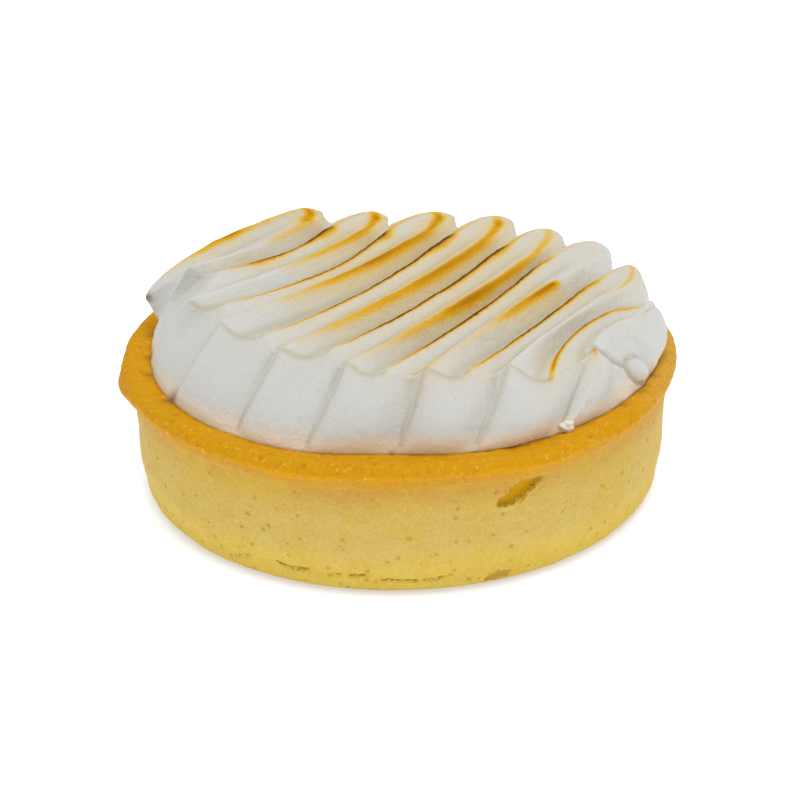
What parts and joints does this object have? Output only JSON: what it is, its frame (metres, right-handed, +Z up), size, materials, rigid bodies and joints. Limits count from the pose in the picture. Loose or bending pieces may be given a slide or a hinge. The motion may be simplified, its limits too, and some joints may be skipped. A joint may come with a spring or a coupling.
{
  "type": "lemon meringue tart",
  "caption": "Round lemon tart in a deep shortcrust case, topped with a ribbon of piped and torched meringue.",
  "frame": {"origin": "middle of the flat underside of the crust, where the tart stands", "axes": "+Z up, -Y towards the viewer, who sees the meringue's creased front lobes"},
  "size_m": [0.09, 0.09, 0.0345],
  "materials": {
    "crust": "dry baked shortcrust, golden at the rim and pale yellow below",
    "meringue": "soft satin white meringue, torched amber and brown along its ridges"
  },
  "bodies": {
    "root": {"crust": "crust", "meringue": "meringue"}
  },
  "joints": []
}
